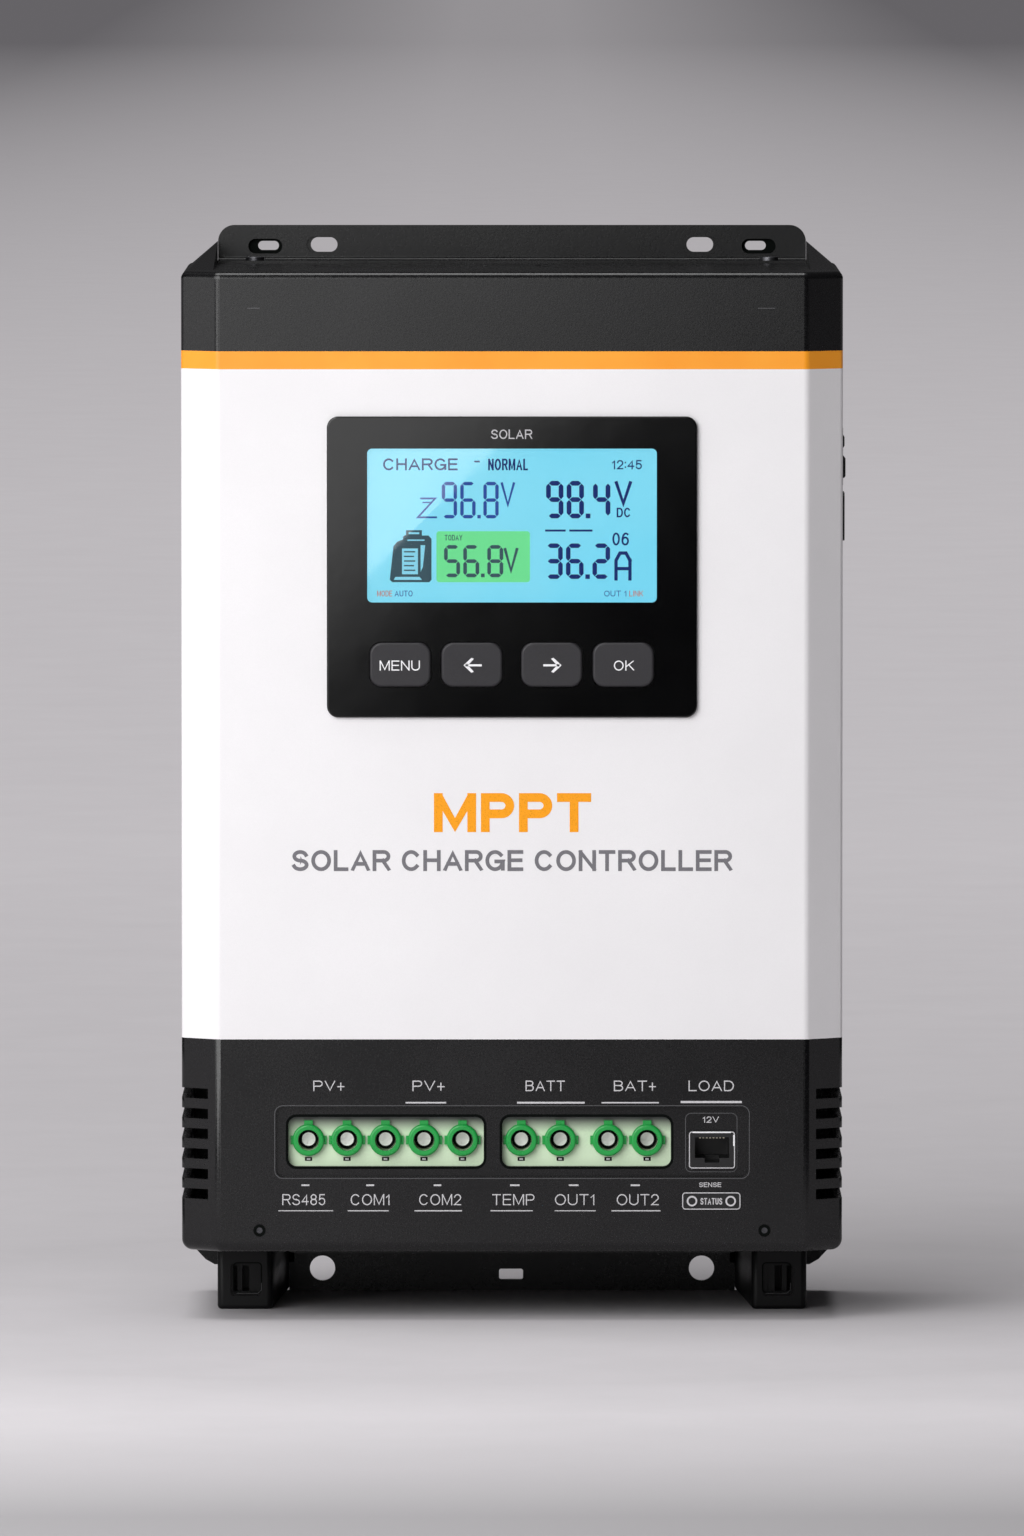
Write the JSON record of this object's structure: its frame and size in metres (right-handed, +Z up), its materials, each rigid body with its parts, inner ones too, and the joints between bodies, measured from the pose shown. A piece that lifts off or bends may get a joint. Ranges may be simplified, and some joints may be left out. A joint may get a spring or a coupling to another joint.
{
  "type": "solar charge controller",
  "caption": "Wall-mount solar charge controller: slim upright case with display, push buttons, screw-clamp terminals, side louvres, rear heat sink, feet and wall brackets.",
  "frame": {"origin": "centre of the bounding box's underside; the feet stand on z = 0", "axes": "+Z up, +X to the viewer's right, -Y out of the front; the wall plane faces +Y"},
  "size_m": [0.2011, 0.106, 0.3289],
  "materials": {
    "white_paint": "fine matt powder coat",
    "orange_trim": "satin",
    "black_cover": "fine spark-eroded grain",
    "rubber": "matt",
    "zinc_steel": "zinc plated",
    "bracket_steel": "black powder coat",
    "gloss_black": "gloss",
    "clear_lens": "clear",
    "lcd": "backlit",
    "circuit_board": "solder mask",
    "black_part": "moulded",
    "button_plastic": "satin",
    "grey_ribbon": "flat cable",
    "terminal_plastic": "moulded, pale green",
    "green_collar": "moulded",
    "contact_metal": "tinned brass",
    "screw_steel": "nickel plated",
    "aluminium": "extruded",
    "ferrite": "ceramic",
    "copper": "enamelled copper",
    "can_sleeve": "shrink sleeve"
  },
  "bodies": {
    "case": {"front_shell": "white_paint", "accent_band": "orange_trim", "top_cover": "black_cover", "bottom_cover": "black_cover", "cable_slot_trim": "rubber", "back_plate": "zinc_steel", "top_bracket": "bracket_steel", "lower_bracket": "bracket_steel", "foot_left": "black_cover", "foot_right": "black_cover", "display_bezel": "gloss_black", "display_window": "clear_lens", "lcd_module": "lcd", "display_board": "circuit_board", "button_switches": "black_part", "ribbon_cable": "grey_ribbon", "pv_terminal_block": "terminal_plastic", "battery_terminal_block": "terminal_plastic", "terminal_collars": "green_collar", "contact_bars": "contact_metal", "load_socket": "black_part", "comm_jack": "black_part", "socket_contacts": "contact_metal", "status_lights": "black_part", "switch_frame": "black_part", "main_board": "circuit_board", "board_standoffs": "contact_metal", "heat_sink": "aluminium", "power_transistors": "black_part", "inductor_cores": "ferrite", "inductor_windings": "copper", "capacitors": "can_sleeve", "fuse_link": "ferrite", "fan_frames": "black_part", "case_screws": "screw_steel"},
    "power_rocker": {"power_rocker": "black_part"},
    "impeller_left": {"impeller_left": "black_part"},
    "impeller_right": {"impeller_right": "black_part"},
    "button_menu": {"button_menu": "button_plastic"},
    "button_left": {"button_left": "button_plastic"},
    "button_right": {"button_right": "button_plastic"},
    "button_ok": {"button_ok": "button_plastic"},
    "pv_screw_1": {"pv_screw_1": "screw_steel"},
    "pv_clamp_1": {"pv_clamp_1": "contact_metal"},
    "pv_screw_2": {"pv_screw_2": "screw_steel"},
    "pv_clamp_2": {"pv_clamp_2": "contact_metal"},
    "pv_screw_3": {"pv_screw_3": "screw_steel"},
    "pv_clamp_3": {"pv_clamp_3": "contact_metal"},
    "pv_screw_4": {"pv_screw_4": "screw_steel"},
    "pv_clamp_4": {"pv_clamp_4": "contact_metal"},
    "pv_screw_5": {"pv_screw_5": "screw_steel"},
    "pv_clamp_5": {"pv_clamp_5": "contact_metal"},
    "battery_screw_1": {"battery_screw_1": "screw_steel"},
    "battery_clamp_1": {"battery_clamp_1": "contact_metal"},
    "battery_screw_2": {"battery_screw_2": "screw_steel"},
    "battery_clamp_2": {"battery_clamp_2": "contact_metal"},
    "battery_screw_3": {"battery_screw_3": "screw_steel"},
    "battery_clamp_3": {"battery_clamp_3": "contact_metal"},
    "battery_screw_4": {"battery_screw_4": "screw_steel"},
    "battery_clamp_4": {"battery_clamp_4": "contact_metal"}
  },
  "joints": [
    {"name": "button_menu_press", "type": "slide", "parent": "case", "child": "button_menu", "axis": [0, 1, 0], "range_m": [0, 0.0007], "stiffness_N_per_m": 400, "springref_m": -0.002},
    {"name": "button_left_press", "type": "slide", "parent": "case", "child": "button_left", "axis": [0, 1, 0], "range_m": [0, 0.0007], "stiffness_N_per_m": 400, "springref_m": -0.002},
    {"name": "button_right_press", "type": "slide", "parent": "case", "child": "button_right", "axis": [0, 1, 0], "range_m": [0, 0.0007], "stiffness_N_per_m": 400, "springref_m": -0.002},
    {"name": "button_ok_press", "type": "slide", "parent": "case", "child": "button_ok", "axis": [0, 1, 0], "range_m": [0, 0.0007], "stiffness_N_per_m": 400, "springref_m": -0.002},
    {"name": "power_rocker_tilt", "type": "hinge", "parent": "case", "child": "power_rocker", "pos_m": [0.095, -0.022, 0.2608], "axis": [0, 1, 0], "range_deg": [0, 9]},
    {"name": "impeller_left_spin", "type": "hinge", "parent": "case", "child": "impeller_left", "pos_m": [-0.034, 0.018, 0.3066], "axis": [0, 0, 1], "continuous": true},
    {"name": "impeller_right_spin", "type": "hinge", "parent": "case", "child": "impeller_right", "pos_m": [0.034, 0.018, 0.3066], "axis": [0, 0, 1], "continuous": true},
    {"name": "pv_screw_1_turn", "type": "hinge", "parent": "case", "child": "pv_screw_1", "pos_m": [-0.0616, -0.0435, 0.0546], "axis": [0, 1, 0], "range_deg": [0, 2250]},
    {"name": "pv_clamp_1_lift", "type": "slide", "parent": "case", "child": "pv_clamp_1", "axis": [0, -1, 0], "range_m": [0, 0.005]},
    {"name": "pv_screw_2_turn", "type": "hinge", "parent": "case", "child": "pv_screw_2", "pos_m": [-0.04995, -0.0435, 0.0546], "axis": [0, 1, 0], "range_deg": [0, 2250]},
    {"name": "pv_clamp_2_lift", "type": "slide", "parent": "case", "child": "pv_clamp_2", "axis": [0, -1, 0], "range_m": [0, 0.005]},
    {"name": "pv_screw_3_turn", "type": "hinge", "parent": "case", "child": "pv_screw_3", "pos_m": [-0.0383, -0.0435, 0.0546], "axis": [0, 1, 0], "range_deg": [0, 2250]},
    {"name": "pv_clamp_3_lift", "type": "slide", "parent": "case", "child": "pv_clamp_3", "axis": [0, -1, 0], "range_m": [0, 0.005]},
    {"name": "pv_screw_4_turn", "type": "hinge", "parent": "case", "child": "pv_screw_4", "pos_m": [-0.02665, -0.0435, 0.0546], "axis": [0, 1, 0], "range_deg": [0, 2250]},
    {"name": "pv_clamp_4_lift", "type": "slide", "parent": "case", "child": "pv_clamp_4", "axis": [0, -1, 0], "range_m": [0, 0.005]},
    {"name": "pv_screw_5_turn", "type": "hinge", "parent": "case", "child": "pv_screw_5", "pos_m": [-0.015, -0.0435, 0.0546], "axis": [0, 1, 0], "range_deg": [0, 2250]},
    {"name": "pv_clamp_5_lift", "type": "slide", "parent": "case", "child": "pv_clamp_5", "axis": [0, -1, 0], "range_m": [0, 0.005]},
    {"name": "battery_screw_1_turn", "type": "hinge", "parent": "case", "child": "battery_screw_1", "pos_m": [0.0028, -0.0435, 0.0546], "axis": [0, 1, 0], "range_deg": [0, 2250]},
    {"name": "battery_clamp_1_lift", "type": "slide", "parent": "case", "child": "battery_clamp_1", "axis": [0, -1, 0], "range_m": [0, 0.005]},
    {"name": "battery_screw_2_turn", "type": "hinge", "parent": "case", "child": "battery_screw_2", "pos_m": [0.0146, -0.0435, 0.0546], "axis": [0, 1, 0], "range_deg": [0, 2250]},
    {"name": "battery_clamp_2_lift", "type": "slide", "parent": "case", "child": "battery_clamp_2", "axis": [0, -1, 0], "range_m": [0, 0.005]},
    {"name": "battery_screw_3_turn", "type": "hinge", "parent": "case", "child": "battery_screw_3", "pos_m": [0.0291, -0.0435, 0.0546], "axis": [0, 1, 0], "range_deg": [0, 2250]},
    {"name": "battery_clamp_3_lift", "type": "slide", "parent": "case", "child": "battery_clamp_3", "axis": [0, -1, 0], "range_m": [0, 0.005]},
    {"name": "battery_screw_4_turn", "type": "hinge", "parent": "case", "child": "battery_screw_4", "pos_m": [0.0409, -0.0435, 0.0546], "axis": [0, 1, 0], "range_deg": [0, 2250]},
    {"name": "battery_clamp_4_lift", "type": "slide", "parent": "case", "child": "battery_clamp_4", "axis": [0, -1, 0], "range_m": [0, 0.005]}
  ],
  "couplings": [
    {"joint": "pv_screw_1_turn", "follows": "pv_clamp_1_lift", "rad_per_m": 7853.9},
    {"joint": "pv_screw_2_turn", "follows": "pv_clamp_2_lift", "rad_per_m": 7853.9},
    {"joint": "pv_screw_3_turn", "follows": "pv_clamp_3_lift", "rad_per_m": 7853.9},
    {"joint": "pv_screw_4_turn", "follows": "pv_clamp_4_lift", "rad_per_m": 7853.9},
    {"joint": "pv_screw_5_turn", "follows": "pv_clamp_5_lift", "rad_per_m": 7853.9},
    {"joint": "battery_screw_1_turn", "follows": "battery_clamp_1_lift", "rad_per_m": 7853.9},
    {"joint": "battery_screw_2_turn", "follows": "battery_clamp_2_lift", "rad_per_m": 7853.9},
    {"joint": "battery_screw_3_turn", "follows": "battery_clamp_3_lift", "rad_per_m": 7853.9},
    {"joint": "battery_screw_4_turn", "follows": "battery_clamp_4_lift", "rad_per_m": 7853.9}
  ]
}
